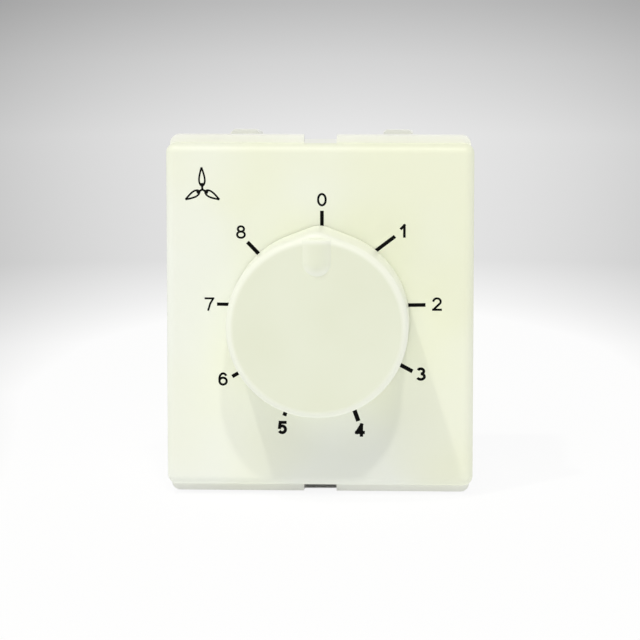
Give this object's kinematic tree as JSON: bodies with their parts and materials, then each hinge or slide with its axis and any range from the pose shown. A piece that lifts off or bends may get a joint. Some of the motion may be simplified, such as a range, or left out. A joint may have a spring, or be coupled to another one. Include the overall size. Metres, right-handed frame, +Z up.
{
  "type": "fan speed control switch",
  "caption": "Rectangular wall-grid insert with a round pointer knob that steps a ceiling fan's speed, a clip-in face plate, a flanged housing with spring lugs and rear wire terminals.",
  "frame": {"origin": "in the middle of the face, in the plane of the flange's back face that seats on the wall grid; the knob's axis is 0.5 mm below", "axes": "+X to the right seen from the front, +Y backward into the wall box, +Z up"},
  "size_m": [0.045, 0.0471, 0.0536],
  "materials": {
    "face_plastic": "fine satin, warm white moulding",
    "knob_plastic": "fine satin, warm white moulding",
    "dial_ink": "printed dial marks",
    "housing_plastic": "plain moulded white",
    "rotor_nylon": "natural nylon",
    "contact_brass": "rolled sheet",
    "spring_steel": "rolled spring strip",
    "board_laminate": "paper laminate",
    "screw_steel": "zinc plated",
    "capacitor_resin": "moulded box with resin fill",
    "resistor_lacquer": "lacquered film body",
    "terminal_brass": "machined"
  },
  "bodies": {
    "base": {"front_plate": "face_plastic", "housing": "housing_plastic", "detent_spring": "spring_steel", "circuit_board": "board_laminate", "contact_tracks": "contact_brass", "board_screws": "screw_steel", "capacitor_small": "capacitor_resin", "capacitor_medium": "capacitor_resin", "capacitor_large": "capacitor_resin", "resistor_small": "resistor_lacquer", "resistor_medium": "resistor_lacquer", "resistor_large": "resistor_lacquer", "line_strap": "terminal_brass", "load_strap": "terminal_brass", "line_terminal": "terminal_brass", "load_terminal": "terminal_brass"},
    "selector": {"knob": "knob_plastic", "rotor": "rotor_nylon", "wiper": "contact_brass"},
    "line_clamp": {"line_screw": "screw_steel"},
    "load_clamp": {"load_screw": "screw_steel"}
  },
  "joints": [
    {"name": "knob_turn", "type": "hinge", "parent": "base", "child": "selector", "pos_m": [0, 0, -0.0005], "axis": [0, 1, 0], "continuous": true, "deforming": ["detent_spring"]},
    {"name": "line_screw_travel", "type": "slide", "parent": "base", "child": "line_clamp", "axis": [0, 0, 1], "range_m": [0, 0.0015]},
    {"name": "load_screw_travel", "type": "slide", "parent": "base", "child": "load_clamp", "axis": [0, 0, 1], "range_m": [0, 0.0015]}
  ]
}
